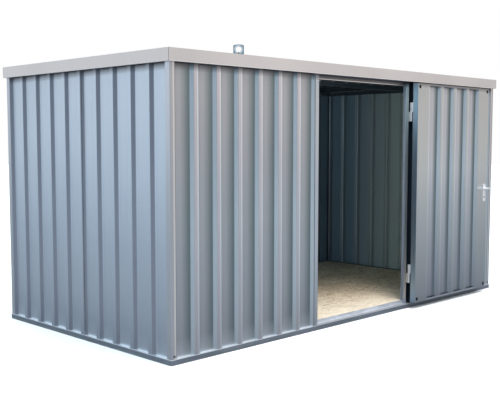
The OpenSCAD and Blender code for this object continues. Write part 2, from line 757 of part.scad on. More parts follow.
// One lever: a neck along the spindle and a flat bar with rounded edges towards the hinge
module lever(out) {
    rotate([-90, 0, 0]) cylinder(h = out - lever_t / 2, d = spindle_d);
    translate([0, out - lever_t / 2, 0]) {
        for (z = [-1, 1]) translate([spindle_d / 2, 0, z * (lever_h - lever_t) / 2])
            rotate([0, -90, 0]) cylinder(h = lever_len + spindle_d / 2, d = lever_t);
        translate([-lever_len, -lever_t / 2, -(lever_h - lever_t) / 2])
            cube([lever_len + spindle_d / 2, lever_t, lever_h - lever_t]);
    }
}

module levers() {
    color("gainsboro") leaf() translate([leaf_w - backset, 0, lever_z]) {
        translate([0, leaf_t - eps, 0]) lever(lever_out + eps);
        translate([0, eps, 0]) mirror([0, 1, 0]) lever(2 * hinge_out - wall_gap + eps);
        rotate([-90, 0, 0]) cylinder(h = leaf_t, d = spindle_d);
    }
}

base_rail_front();
base_rail(2);  // base_rail_back
base_rail(3);  // base_rail_left
base_rail(1);  // base_rail_right
floor_bearers();
floor_boards();
corner_posts();
front_wall_left();
front_wall_right();
back_wall();
left_wall();
right_wall();
left_jamb();
right_jamb();
lintel();
eaves_beam_front();
eaves_beam_back();
gable_beam_left();
gable_beam_right();
ridge_beam();
roof_front();
roof_back();
ridge_cap();
lifting_eye();
fascia_front();
fascia_back();
fascia_left();
fascia_right();
hinges_fixed();
hinges_moving();
door_inner_sheet();
door_outer_sheet();
door_end_channels();
door_plugs();
lock_case();
key_cylinder();
lock_plate_inner();
lock_plate_outer();
levers();
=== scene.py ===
import json
import math

import bmesh
import bpy
from mathutils import Matrix, Vector


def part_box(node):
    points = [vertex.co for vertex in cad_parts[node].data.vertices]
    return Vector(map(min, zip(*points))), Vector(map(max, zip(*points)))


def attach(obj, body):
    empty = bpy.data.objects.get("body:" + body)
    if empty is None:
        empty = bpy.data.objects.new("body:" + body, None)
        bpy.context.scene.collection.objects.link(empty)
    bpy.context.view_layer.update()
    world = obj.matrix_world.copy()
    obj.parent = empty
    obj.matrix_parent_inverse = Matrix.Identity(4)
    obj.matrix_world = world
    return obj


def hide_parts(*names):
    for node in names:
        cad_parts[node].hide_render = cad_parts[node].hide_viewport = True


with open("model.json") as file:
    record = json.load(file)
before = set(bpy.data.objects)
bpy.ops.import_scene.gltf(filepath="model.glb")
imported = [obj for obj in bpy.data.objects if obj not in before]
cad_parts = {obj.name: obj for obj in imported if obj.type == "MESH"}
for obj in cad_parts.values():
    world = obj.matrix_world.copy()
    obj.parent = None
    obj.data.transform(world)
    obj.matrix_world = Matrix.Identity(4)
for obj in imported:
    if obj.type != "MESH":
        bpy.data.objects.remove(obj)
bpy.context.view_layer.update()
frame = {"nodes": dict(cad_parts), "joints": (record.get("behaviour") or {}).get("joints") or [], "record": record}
scene = bpy.context.scene
container, door, lever = "container", "door", "lever"
print("frame loaded:", len(frame["nodes"]), "nodes")

# camera

cameraView = {
    "place": (-5.553, -5.278, 1.511),
    "turn": (85.25, 0.0, -44.87),      # degrees
    "lens": 59.54,
}

cameraData = bpy.data.cameras.new("camera")
cameraData.lens = cameraView["lens"]
cameraData.sensor_width = 36
camera = bpy.data.objects.new("camera", cameraData)
camera.location = cameraView["place"]
camera.rotation_euler = [math.radians(a) for a in cameraView["turn"]]
scene.collection.objects.link(camera)
scene.camera = camera
scene.view_settings.view_transform = "Standard"

# light: a pale studio with soft boxes; the sheets show them as broad streaks

studio = {
    "backdrop": (1.0, 1.0, 1.0),
    # the walls in steps of 22.5 degrees: the first is at the left end (-X), the fifth at the
    # door side (-Y), the ninth at the right end (+X) and the thirteenth behind (+Y)
    "walls": [(0.11, 0.14, 0.19), (0.16, 0.21, 0.26), (0.22, 0.28, 0.34), (0.13, 0.16, 0.20),
              (0.07, 0.07, 0.08), (0.46, 0.42, 0.40), (0.86, 0.77, 0.72), (0.63, 0.52, 0.47),
              (0.40, 0.28, 0.22), (0.32, 0.26, 0.23), (0.24, 0.23, 0.24), (0.29, 0.27, 0.29),
              (0.34, 0.32, 0.34), (0.78, 0.82, 0.87), (1.22, 1.32, 1.40), (0.66, 0.73, 0.80)],
    "ceiling": (2.05, 2.30, 2.40),
    "wallTop": (0.30, 0.70),            # sine of the elevation where walls blend into ceiling
    "floor": (0.93, 0.93, 0.93),
    "floorBounce": (0.20, 0.21, 0.23),  # what the walls see of the floor
    # name, place, aims at, width, height, power, colour
    "boxes": [
        ("roomBox", (-0.2, -0.7, 1.9), (1.3, 1.0, 0.9), 0.5, 0.5, 2.8, (0.8, 1.0, 1.0)),
        ("doorBox", (-0.6, -3.4, 7.0), (0.0, -1.0, 0.0), 2.6, 2.2, 300, (1.0, 0.84, 0.77)),
    ],
}


def addSoftBox(name, place, aim, width, height, power, color):
    data = bpy.data.lights.new(name, "AREA")
    data.shape = "RECTANGLE"
    data.size = width
    data.size_y = height
    data.energy = power
    data.color = color
    box = bpy.data.objects.new(name, data)
    box.location = place
    box.rotation_euler = (Vector(aim) - Vector(place)).to_track_quat("-Z", "Y").to_euler()
    box.visible_camera = False
    scene.collection.objects.link(box)


for box in studio["boxes"]:
    addSoftBox(*box)


def addNode(tree, kind, settings=None, **inputs):
    item = tree.nodes.new("ShaderNode" + kind)
    for key, value in (settings or {}).items():
        setattr(item, key, value)
    for key, value in inputs.items():
        socket = item.inputs[key]
        if hasattr(value, "is_output"):
            tree.links.new(value, socket)
        else:
            socket.default_value = value
    return item


world = bpy.data.worlds.new("studio")
scene.world = world
world.use_nodes = True
sky = world.node_tree
sky.nodes.clear()
direction = addNode(sky, "TexCoord").outputs["Generated"]
around = addNode(sky, "TexGradient", {"gradient_type": "RADIAL"}, Vector=direction).outputs[1]
wallRamp = addNode(sky, "ValToRGB", Fac=around)
wallStops = wallRamp.color_ramp.elements
wallStops[0].color = wallStops[1].color = (*studio["walls"][0], 1)
for i, color in enumerate(studio["walls"][1:], 1):
    wallStops.new(i / len(studio["walls"])).color = (*color, 1)
wallEnd, ceilingStart = studio["wallTop"]
upward = addNode(sky, "MapRange", Value=addNode(sky, "SeparateXYZ", Vector=direction).outputs[2],
                 **{"From Min": wallEnd, "From Max": ceilingStart})
skyColor = addNode(sky, "Mix", {"data_type": "RGBA"}, Factor=upward.outputs[0])
sky.links.new(wallRamp.outputs[0], skyColor.inputs[6])
skyColor.inputs[7].default_value = (*studio["ceiling"], 1)
fill = addNode(sky, "Background", Color=skyColor.outputs[2])
backdrop = addNode(sky, "Background", Color=(*studio["backdrop"], 1))
skyShader = addNode(sky, "MixShader", Fac=addNode(sky, "LightPath").outputs["Is Camera Ray"])
sky.links.new(fill.outputs[0], skyShader.inputs[1])
sky.links.new(backdrop.outputs[0], skyShader.inputs[2])
addNode(sky, "OutputWorld", Surface=skyShader.outputs[0])
print("camera and light set")

# nodes for the materials


def startMaterial(name):
    material = bpy.data.materials.new(name)
    material.use_nodes = True
    tree = material.node_tree
    return material, tree, tree.nodes["Principled BSDF"]


def objectPoint(tree, scale=(1, 1, 1), turn=(0, 0, 0), shift=(0, 0, 0)):
    coord = addNode(tree, "TexCoord")
    return addNode(tree, "Mapping", Vector=coord.outputs["Object"], Scale=scale,
                   Rotation=turn, Location=shift).outputs[0]


def mixColors(tree, factor, first, second, blend="MIX"):
    mix = addNode(tree, "Mix", {"data_type": "RGBA", "blend_type": blend})
    for socket, value in ((mix.inputs[0], factor), (mix.inputs[6], first), (mix.inputs[7], second)):
        if hasattr(value, "is_output"):
            tree.links.new(value, socket)
        elif isinstance(value, tuple):
            socket.default_value = (*value, 1)
        else:
            socket.default_value = value
    return mix.outputs[2]


def remap(tree, value, low, high, newLow, newHigh):
    return addNode(tree, "MapRange", Value=value, **{
        "From Min": low, "From Max": high, "To Min": newLow, "To Max": newHigh}).outputs[0]


def multiply(tree, first, second):
    item = addNode(tree, "Math", {"operation": "MULTIPLY"})
    tree.links.new(first, item.inputs[0])
    tree.links.new(second, item.inputs[1])
    return item.outputs[0]


def insideBox(tree, low, high):
    # 1 where the object's own coordinates lie between low and high, else 0
    point = addNode(tree, "TexCoord").outputs["Object"]
    parts = addNode(tree, "SeparateXYZ", Vector=point).outputs
    mask = None
    for value, bottom, top in zip(parts, low, high):
        for operation, limit in (("GREATER_THAN", bottom), ("LESS_THAN", top)):
            test = addNode(tree, "Math", {"operation": operation})
            tree.links.new(value, test.inputs[0])
            test.inputs[1].default_value = limit
            mask = multiply(tree, mask, test.outputs[0]) if mask else test.outputs[0]
    return mask


def addBump(tree, shader, height, strength, distance):
    bump = addNode(tree, "Bump", Height=height, Strength=strength, Distance=distance)
    tree.links.new(bump.outputs[0], shader.inputs["Normal"])


def noiseAt(tree, point, scale, detail=2.0, roughness=0.5):
    return addNode(tree, "TexNoise", Vector=point, Scale=scale, Detail=detail,
                   Roughness=roughness).outputs[0]


# zinc-coated steel: faint spangle, drawing streaks along the sheet, clouds of dull and bright
# zinc, and a darker, matt foot: partly dirt where rain splashes up, partly painted shade

doorway = {"left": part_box("left_jamb")[1].x, "right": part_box("right_jamb")[0].x + 0.020,
           "front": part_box("corner_posts")[0].y}
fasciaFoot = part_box("fascia_front")[0].z
zincLooks = {
    "galvanised_sheet": {
        "bright": (0.56, 0.61, 0.67), "dull": (0.48, 0.525, 0.58), "metal": 0.85,
        # foot: darker towards the foot, partly dirt, partly painted shade
        "roughness": (0.30, 0.34), "spangle": 70, "streak": (90, 90, 1.2), "foot": 0.35,
        # eaves: painted shadow under the fascia
        "bump": 0.0003, "eaves": 0.95},
    "galvanised_roof": {
        "bright": (0.23, 0.25, 0.275), "dull": (0.17, 0.185, 0.205), "metal": 0.85,
        "roughness": (0.34, 0.50), "spangle": 70, "streak": (90, 1.2, 90), "foot": 0.0, "bump": 0.0004,
        # under: painted shade on the roof's underside
        "under": (0.11, 0.13, 0.16)},
    "galvanised_frame": {
        "bright": (0.30, 0.345, 0.40), "dull": (0.20, 0.24, 0.29), "metal": 0.75,
        "roughness": (0.36, 0.55), "spangle": 60, "streak": (2.0, 2.0, 60), "foot": 0.0, "bump": 0.0006,
        # the threshold, trodden bright between the jambs
        "worn": {"box": ((doorway["left"], doorway["front"] - 0.003, 0.036),
                         (doorway["right"], doorway["front"] + 0.062, 0.066)),
                 "color": (0.72, 0.74, 0.80)}},
    "lifting_steel": {
        "bright": (0.80, 0.88, 0.95), "dull": (0.66, 0.75, 0.84), "metal": 0.70,
        "roughness": (0.30, 0.45), "spangle": 120, "streak": (20, 20, 20), "foot": 0.0, "bump": 0.0008},
    "hinge_steel": {
        "bright": (0.78, 0.80, 0.82), "dull": (0.66, 0.68, 0.71), "metal": 0.60,
        "roughness": (0.25, 0.42), "spangle": 160, "streak": (60, 60, 8), "foot": 0.0, "bump": 0.0004},
    "dark_steel": {
        "bright": (0.10, 0.105, 0.11), "dull": (0.05, 0.052, 0.056), "metal": 0.7,
        "roughness": (0.35, 0.50), "spangle": 200, "streak": (40, 40, 40), "foot": 0.0, "bump": 0.0002},
    "lock_steel": {
        "bright": (0.60, 0.61, 0.63), "dull": (0.42, 0.43, 0.45), "metal": 0.90,
        "roughness": (0.25, 0.40), "spangle": 200, "streak": (150, 150, 30), "foot": 0.0, "bump": 0.0002},
}


# the walls and the leaf are the same sheet, with painted light and shade across each rib. across
# is 0 for sheets that run along X and 1 for those along Y; each shade is how much of the bare zinc's
# colour shows there; beyond reach from the middle of the sheet all is as on top of a rib. A rib's
# shades: the pan falls to the painted shade of the crease before the flank, the flank is lighter or
# darker by how it faces the light, then come the top, painted lighter than the pan, and a painted
# highlight along its edge. Widths are in millimetres, pitches in metres
sheetShape = {"top": 40, "flank": 24, "line": 3}
wallPitch = 0.207
leafLow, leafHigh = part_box("door_inner_sheet")
leafEnds = 0.332                # both stiles of the leaf, less one rib's top
leafPitch = (leafHigh.x - leafLow.x - leafEnds) / 4
postLeg = 0.045


def acrossRib(pitch, pan, fall, crease, creaseWide, flank, top, edge, edgeWide):
    # places across the rib, from its middle, with the shade at each
    half, side, line = pitch * 500, sheetShape["top"] / 2, sheetShape["line"]
    foot = side + sheetShape["flank"]
    falls = 2 * half - foot - creaseWide - fall
    share = max(0.0, min(1.0, (half - falls) / fall))
    middle = tuple(a + (b - a) * share for a, b in zip(pan, crease))
    stops = [(-half, middle), (-foot - creaseWide, crease), (-foot, crease), (line - foot, flank),
             (-side - line, flank), (-side, top), (side - edgeWide - line, top),
             (side - edgeWide, edge), (side, edge), (side + line, pan)]
    if falls < half:
        stops.append((falls, pan))
    else:
        stops[1:1] = [(falls - 2 * half, pan)]
    return stops


frontRibs = {
    "across": 0, "pitch": wallPitch, "middle": 0.0, "reach": 3.0,
    "stops": acrossRib(wallPitch, pan=(0.60, 0.60, 0.60), fall=70,
                       crease=(0.25, 0.30, 0.30), creaseWide=12, flank=(0.90, 0.95, 0.95),
                       top=(0.80, 0.75, 0.75), edge=(1.0, 1.0, 1.0), edgeWide=12)}
sideRibs = {
    "across": 1, "pitch": wallPitch, "middle": 0.0, "reach": 3.0,
    "stops": acrossRib(wallPitch, pan=(0.70, 0.75, 0.80), fall=10,
                       crease=(0.80, 0.85, 0.90), creaseWide=8, flank=(0.50, 0.50, 0.55),
                       top=(0.70, 0.75, 0.80), edge=(0.70, 0.75, 0.80), edgeWide=8)}
leafRibs = {
    "across": 0, "pitch": leafPitch, "middle": (leafLow.x + leafHigh.x) / 2, "reach": leafPitch * 2,
    "stops": acrossRib(leafPitch, pan=(0.80, 0.80, 0.80), fall=50,
                       crease=(0.25, 0.30, 0.30), creaseWide=20, flank=(0.85, 0.90, 0.90),
                       top=(0.80, 0.80, 0.75), edge=(1.0, 1.0, 1.0), edgeWide=12)}
# what the room's side of a wall shows: grey-green primer, with the bends drawn as pale lines as painted
# highlights, painted light paling it towards the doorway, and painted shade on the flanks
roomSide = {"color": (0.34, 0.49, 0.63), "lightNearDoor": (0.85, 1.0, 1.0), "line": (1.0, 1.0, 1.0),
            "lineAt": 0.021, "lineWide": 0.0030, "shade": 0.35}
# a darker copy for the front and back walls: painted shade
roomSideInShade = roomSide | {"color": (0.20, 0.29, 0.37), "lightNearDoor": (0.20, 0.29, 0.37),
                       "line": (0.34, 0.44, 0.52), "shade": 0.75}
bareZinc = zincLooks["galvanised_sheet"] | {"bright": (0.86, 0.91, 0.97), "dull": (0.80, 0.85, 0.92)}
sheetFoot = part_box("left_wall")[0].z
# painted highlight at the foot of the pans, just above the base rail
hemHighlight = {"from": sheetFoot, "line": 0.0025, "highlightFade": 0.13, "strength": 0.30, "color": (0.86, 0.94, 1.0)}
zincLooks["galvanised_front"] = bareZinc | {"ribs": frontRibs, "room": roomSideInShade, "hemHighlight": hemHighlight}
zincLooks["galvanised_side"] = bareZinc | {"ribs": sideRibs, "room": roomSide, "hemHighlight": hemHighlight,
                                           # painted shade, darker towards the top of the side walls
                                           "upper": 0.14}
zincLooks["galvanised_leaf"] = bareZinc | {
    # the leaf: darker towards the foot, partly dirt, partly painted shade, and painted shade towards the top
    "ribs": leafRibs, "foot": 0.78, "footDirtAndShadeTop": 1.25, "upper": 0.12, "roughness": (0.34, 0.40),
    # painted shade: the hinge edge of the leaf drawn darker and bluer
    "bands": [((leafLow.x - 0.001, -3, 0), (leafLow.x + 0.0015, leafHigh.y, 3), (0.33, 0.45, 0.59))]}

# rolled and folded trim over the doorway, and the rails: drawn lengthwise, with a painted highlight along the
# edge; the trim is also darker all over, painted shade under the fascia
zincLooks["galvanised_lintel"] = bareZinc | {
    "bright": (0.44, 0.45, 0.47), "dull": (0.38, 0.39, 0.41), "streak": (1.2, 90, 90), "foot": 0.0,
    "bands": [((-3, -3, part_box("lintel")[0].z - 0.001), (3, 3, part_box("lintel")[0].z + 0.005),
               (0.92, 0.93, 0.95))]}
# the left jamb: a painted highlight along the edge by the doorway, and painted shade where it meets the wall
jambLow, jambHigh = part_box("left_jamb")
zincLooks["galvanised_jamb_left"] = bareZinc | {
    "bright": (0.64, 0.70, 0.77), "dull": (0.56, 0.62, 0.69),
    "bands": [((jambHigh.x - 0.006, -3, 0), (jambHigh.x + 0.001, jambLow.y + 0.002, 3), (1.0, 1.0, 1.0)),
              ((jambLow.x - 0.001, -3, 0), (jambLow.x + 0.004, 3, 3), (0.16, 0.18, 0.21))]}
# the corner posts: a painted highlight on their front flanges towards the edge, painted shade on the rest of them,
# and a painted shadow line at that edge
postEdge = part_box("corner_posts")[1].x - postLeg
zincLooks["galvanised_post"] = bareZinc | {
    "bright": (0.66, 0.72, 0.80), "dull": (0.60, 0.66, 0.74),
    "bands": [((low, -3, 0), (high, 3, 3), shade) for low, high, shade in (
        (postEdge + 0.002, postEdge + 0.018, (0.80, 0.79, 0.77)),
        (-postEdge - 0.018, -postEdge - 0.002, (0.80, 0.79, 0.77)),
        (postEdge + 0.018, 3, (0.52, 0.55, 0.60)), (-3, -postEdge - 0.018, (0.52, 0.55, 0.60)),
        (postEdge - 0.001, postEdge + 0.002, (0.22, 0.23, 0.25)),
        (-postEdge - 0.002, -postEdge + 0.001, (0.22, 0.23, 0.25)))]}
# the base rails: a painted highlight along the top edge
zincLooks["galvanised_rail"] = zincLooks["galvanised_frame"] | {"rim": {
    "from": sheetFoot - 0.003, "to": sheetFoot + 0.002, "color": (0.66, 0.70, 0.75)}}

# the lifting eye: bright round the bore, darker towards its outline
eyeMount = next(m for m in frame["record"]["mounts"] if m["name"] == "lifting_eye")
zincLooks["lifting_steel"]["ring"] = {"centre": eyeMount["pos_m"], "from": 0.035, "to": 0.044,
                                      "color": (0.26, 0.38, 0.43)}

# the lock's plates, powder-coated nearly white
zincLooks["plate_satin"] = zincLooks["lock_steel"] | {
    "bright": (0.90, 0.91, 0.93), "dull": (0.82, 0.83, 0.86), "metal": 0.25, "roughness": (0.32, 0.45)}

# the right jamb is the same sheet, with its hinge pocket painted near black as shade
zincLooks["galvanised_jamb"] = zincLooks["galvanised_sheet"] | {
    "pocketShade": {"box": ((doorway["right"] + 0.001, doorway["front"] + 0.003, 0),
                       (doorway["right"] + 0.048, doorway["front"] + 0.056, 3)),
               "color": (0.016, 0.026, 0.042)}}


def mathNode(tree, operation, first, *others):
    item = addNode(tree, "Math", {"operation": operation})
    for socket, value in zip(item.inputs, (first, *others)):
        if hasattr(value, "is_output"):
            tree.links.new(value, socket)
        else:
            socket.default_value = value
    return item.outputs[0]


def paintedRibShade(tree, point, ribs):
    # the distance from the middle of the nearest rib, and the painted light and shade there
    across = addNode(tree, "SeparateXYZ", Vector=point).outputs[ribs["across"]]
    held = addNode(tree, "Clamp", Value=mathNode(tree, "SUBTRACT", across, ribs["middle"]),
                   Min=-ribs["reach"], Max=ribs["reach"]).outputs[0]
    half = ribs["pitch"] / 2
    fromRib = mathNode(tree, "WRAP", held, half, -half)
    ramp = addNode(tree, "ValToRGB", Fac=remap(tree, fromRib, -half, half, 0.0, 1.0))
    stops = ramp.color_ramp.elements
    first, *others = ribs["stops"]
    stops[0].color = stops[1].color = (*first[1], 1)
    for place, shade in others:
        stops.new(0.5 + place / 1000 / ribs["pitch"]).color = (*shade, 1)
    return fromRib, ramp.outputs[0]


def roomMask(tree, point, ribs):
    # 1 on the faces of a wall sheet that look into the room, else 0
    out = 1 - ribs["across"]
    normal = addNode(tree, "SeparateXYZ",
                     Vector=addNode(tree, "NewGeometry").outputs["Normal"]).outputs[out]
    away = multiply(tree, normal, addNode(tree, "SeparateXYZ", Vector=point).outputs[out])
    return mathNode(tree, "LESS_THAN", away, 0.0)


def zincMaterial(name, look):
    material, tree, shader = startMaterial(name)
    plain = objectPoint(tree)
    spangle = addNode(tree, "TexVoronoi", Vector=plain, Scale=look["spangle"])
    spangleShade = addNode(tree, "SeparateColor", Color=spangle.outputs["Color"]).outputs[0]
    streaks = noiseAt(tree, objectPoint(tree, look["streak"]), 1.0, 3.0, 0.6)
    clouds = noiseAt(tree, plain, 1.7, 3.0, 0.55)
    factor = remap(tree, multiply(tree, streaks, clouds), 0.12, 0.40, 0.0, 1.0)
    color = mixColors(tree, factor, look["dull"], look["bright"])
    color = mixColors(tree, 0.10, color, spangle.outputs["Color"], "SOFT_LIGHT")
    # painted light and shade across each rib
    if "ribs" in look:
        fromRib, shade = paintedRibShade(tree, plain, look["ribs"])
        color = mixColors(tree, 1.0, color, shade, "MULTIPLY")
    # darker towards the foot: partly dirt, partly painted shade
    if look["foot"]:
        height = addNode(tree, "SeparateXYZ", Vector=plain).outputs[2]
        foot = remap(tree, height, 0.02, look.get("footDirtAndShadeTop", 0.95), look["foot"], 0.0)
        color = mixColors(tree, foot, color, (0.20, 0.23, 0.28))
    if "eaves" in look:
        # painted shadow under the drip edge of the fascia
        height = addNode(tree, "SeparateXYZ", Vector=plain).outputs[2]
        eavesShadow = remap(tree, height, fasciaFoot - 0.055, fasciaFoot - 0.005, 0.0, look["eaves"])
        color = mixColors(tree, eavesShadow, color, (0.10, 0.10, 0.11))
    # painted shade: darker towards the top, from 1.2 m to 2 m
    if "upper" in look:
        height = addNode(tree, "SeparateXYZ", Vector=plain).outputs[2]
        color = mixColors(tree, remap(tree, height, 1.2, 2.0, 0.0, look["upper"]), color, (0.1, 0.1, 0.1))
    if "hemHighlight" in look:
        # painted highlight: a bright line where the pans stand in the base rail, fading upwards from it
        hemHighlight = look["hemHighlight"]
        height = addNode(tree, "SeparateXYZ", Vector=plain).outputs[2]
        line = remap(tree, height, hemHighlight["from"] + hemHighlight["line"] * 0.6, hemHighlight["from"] + hemHighlight["line"], 1.0, 0.0)
        highlightFade = remap(tree, height, hemHighlight["from"], hemHighlight["from"] + hemHighlight["highlightFade"], hemHighlight["strength"], 0.0)
        low = mathNode(tree, "MAXIMUM", line, highlightFade)
        inPan = mathNode(tree, "GREATER_THAN", mathNode(tree, "ABSOLUTE", fromRib), 0.042)
        color = mixColors(tree, multiply(tree, low, inPan), color, hemHighlight["color"])
    if "under" in look:
        # painted shade: the underside of the roof darker, as in the dark of the room
        upright = addNode(tree, "SeparateXYZ",
                          Vector=addNode(tree, "NewGeometry").outputs["Normal"]).outputs[2]
        color = mixColors(tree, mathNode(tree, "LESS_THAN", upright, 0.0), color, look["under"])
    if "ring" in look:
        # darker metal along the outline of the eye plate
        ring = look["ring"]
        reach = addNode(tree, "VectorMath", {"operation": "DISTANCE"}, Vector=plain)
        reach.inputs[1].default_value = ring["centre"]
        edge = remap(tree, reach.outputs["Value"], ring["from"], ring["to"], 0.0, 1.0)
        color = mixColors(tree, edge, color, ring["color"])
    if "worn" in look:
        worn = insideBox(tree, *look["worn"]["box"])
        marks = noiseAt(tree, objectPoint(tree, (8, 90, 30)), 1.0, 4.0)
        scuffs = remap(tree, marks, 0.35, 0.65, 0.6, 1.0)
        color = mixColors(tree, multiply(tree, worn, scuffs), color, look["worn"]["color"])
    for low, high, shade in look.get("bands", ()):
        color = mixColors(tree, insideBox(tree, low, high), color, shade)
    if "rim" in look:
        # painted highlight: a pale band along the top edge of the rail
        height = addNode(tree, "SeparateXYZ", Vector=plain).outputs[2]
        rim = multiply(tree, mathNode(tree, "GREATER_THAN", height, look["rim"]["from"]),
                       mathNode(tree, "LESS_THAN", height, look["rim"]["to"]))
        color = mixColors(tree, rim, color, look["rim"]["color"])
    if "room" in look:
        room = look["room"]
        facesRoom = roomMask(tree, plain, look["ribs"])
        fromLine = mathNode(tree, "ABSOLUTE", mathNode(
            tree, "SUBTRACT", mathNode(tree, "ABSOLUTE", fromRib), room["lineAt"]))
        line = remap(tree, fromLine, room["lineWide"] * 0.5, room["lineWide"], 0.8, 0.0)
        # painted light: the primer paler towards the doorway
        doorLightShare = remap(tree, addNode(tree, "SeparateXYZ", Vector=plain).outputs[1], 0.75, 0.0, 0, 1)
        primer = mixColors(tree, doorLightShare, room["color"], room["lightNearDoor"])
        # painted shade on the flanks
        onFlank = multiply(tree, mathNode(tree, "GREATER_THAN", fromLine, 0.002),
                           mathNode(tree, "LESS_THAN", mathNode(tree, "ABSOLUTE", fromRib), 0.043))
        primer = mixColors(tree, mathNode(tree, "MULTIPLY", onFlank, room["shade"]), primer,
                           (0.02, 0.03, 0.04))
        # painted highlight: pale lines along the bends
        primer = mixColors(tree, line, primer, room["line"])
        color = mixColors(tree, facesRoom, color, primer)
        tree.links.new(remap(tree, facesRoom, 0, 1, look["metal"], 0.15), shader.inputs["Metallic"])
    elif "pocketShade" in look:
        # painted shade: the hinge pocket near black and not metallic
        inPocketShade = insideBox(tree, *look["pocketShade"]["box"])
        color = mixColors(tree, inPocketShade, color, look["pocketShade"]["color"])
        tree.links.new(remap(tree, inPocketShade, 0, 1, look["metal"], 0), shader.inputs["Metallic"])
    else:
        shader.inputs["Metallic"].default_value = look["metal"]
    tree.links.new(color, shader.inputs["Base Color"])
    low, high = look["roughness"]
    tree.links.new(remap(tree, streaks, 0.3, 0.7, low, high), shader.inputs["Roughness"])
    addBump(tree, shader, spangleShade, 0.15, look["bump"])
    return material


# satin coil-coated sheet of the fascia: fine grain, slow shade changes, and a painted highlight along the lower
# fold

fasciaLook = {"color": (0.595, 0.56, 0.545), "shade": (0.53, 0.50, 0.485), "foldHighlight": (0.80, 0.77, 0.75),
              "foldHeight": 2.022, "foldBand": 0.007, "joint": 0.0022, "gap": (0.16, 0.16, 0.17)}


def fasciaMaterial(name, look):
    material, tree, shader = startMaterial(name)
    plain = objectPoint(tree)
    clouds = noiseAt(tree, plain, 1.3, 3.0)
    grain = noiseAt(tree, objectPoint(tree, (1, 1, 14)), 60.0, 2.0)
    color = mixColors(tree, remap(tree, clouds, 0.35, 0.65, 0, 1), look["shade"], look["color"])
    height = addNode(tree, "SeparateXYZ", Vector=plain).outputs[2]
    # painted highlight along the lower fold
    fold = remap(tree, height, look["foldHeight"], look["foldHeight"] + look["foldBand"], 0.8, 0.0)
    color = mixColors(tree, fold, color, look["foldHighlight"])
    # the open joint at each mitred corner
    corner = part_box("fascia_front")[1].x - look["joint"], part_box("fascia_back")[1].y - look["joint"]
    mirrored = addNode(tree, "VectorMath", {"operation": "ABSOLUTE"}, Vector=plain)
    sides = addNode(tree, "SeparateXYZ", Vector=mirrored.outputs[0]).outputs
    joint = multiply(tree, *[remap(tree, side, place, place + 0.0004, 0, 1)
                             for side, place in zip(sides, corner)])
    color = mixColors(tree, joint, color, look["gap"])
    tree.links.new(color, shader.inputs["Base Color"])
    shader.inputs["Metallic"].default_value = 0.15
    tree.links.new(remap(tree, grain, 0.3, 0.7, 0.38, 0.52), shader.inputs["Roughness"])
    addBump(tree, shader, grain, 0.2, 0.0003)
    return material


# pressed chipboard: flat strands lying every way, resin flecks and a few dark bark chips

boardLook = {"pale": (0.90, 0.81, 0.64), "mid": (0.62, 0.47, 0.29), "dark": (0.26, 0.15, 0.07),
             "worn": (0.86, 0.79, 0.66), "clumps": 0.80, "doorLightPool": 0.50}


def strandLayer(tree, turn, scale):
    point = objectPoint(tree, (scale, scale * 4.2, scale), (0, 0, math.radians(turn)))
    wobble = addNode(tree, "TexNoise", Vector=point, Scale=0.8, Detail=1.0)
    moved = addNode(tree, "VectorMath", {"operation": "ADD"})
    tree.links.new(point, moved.inputs[0])
    tree.links.new(wobble.outputs["Color"], moved.inputs[1])
    cells = addNode(tree, "TexVoronoi", Vector=moved.outputs[0], Scale=1.0)
    return addNode(tree, "SeparateColor", Color=cells.outputs["Color"]).outputs


def boardMaterial(name, look):
    material, tree, shader = startMaterial(name)
    plain = objectPoint(tree)
    first = strandLayer(tree, 28, 13)
    second = strandLayer(tree, -47, 16)
    third = strandLayer(tree, 80, 11)
    pick = remap(tree, noiseAt(tree, plain, 55.0, 1.0), 0.46, 0.54, 0, 1)
    pick2 = remap(tree, noiseAt(tree, objectPoint(tree, shift=(3, 1, 0)), 40.0, 1.0), 0.5, 0.6, 0, 1)
    layers = addNode(tree, "Mix", {"data_type": "FLOAT"})
    for socket, value in zip((0, 2, 3), (pick, first[0], second[0])):
        tree.links.new(value, layers.inputs[socket])
    strands = addNode(tree, "Mix", {"data_type": "FLOAT"})
    for socket, value in zip((0, 2, 3), (pick2, layers.outputs[0], third[0])):
        tree.links.new(value, strands.inputs[socket])
    ramp = addNode(tree, "ValToRGB", Fac=strands.outputs[0])
    ramp.color_ramp.elements[0].color = (*look["dark"], 1)
    ramp.color_ramp.elements[1].position = 1.0
    ramp.color_ramp.elements[1].color = (*look["pale"], 1)
    middle = ramp.color_ramp.elements.new(0.18)
    middle.color = (*look["mid"], 1)
    upper = ramp.color_ramp.elements.new(0.50)
    upper.color = (0.80, 0.69, 0.50, 1)
    fibre = noiseAt(tree, objectPoint(tree, (300, 60, 100), (0, 0, 0.5)), 1.0, 2.0)
    color = mixColors(tree, remap(tree, fibre, 0.4, 0.7, 0.0, 0.35), ramp.outputs[0], look["worn"])
    soil = remap(tree, noiseAt(tree, plain, 2.2, 4.0), 0.52, 0.75, 0.0, 0.55)
    color = mixColors(tree, soil, color, (0.42, 0.34, 0.24))
    # clumps of brown chips, drawn out along the board
    clumps = noiseAt(tree, objectPoint(tree, (11, 20, 11), (0, 0, 0.3)), 1.0, 5.0, 0.75)
    brown = remap(tree, clumps, 0.50, 0.70, 0.0, look["clumps"])
    color = mixColors(tree, brown, color, (0.40, 0.25, 0.12))
    # painted light, paler just inside the doorway
    inward = addNode(tree, "SeparateXYZ", Vector=plain).outputs[1]
    doorLightPool = remap(tree, inward, -1.0, -0.35, look["doorLightPool"], 0.0)
    color = mixColors(tree, doorLightPool, color, (0.98, 0.91, 0.79))
    tree.links.new(color, shader.inputs["Base Color"])
    tree.links.new(remap(tree, fibre, 0.3, 0.7, 0.6, 0.85), shader.inputs["Roughness"])
    addBump(tree, shader, strands.outputs[0], 0.35, 0.0006)
    return material


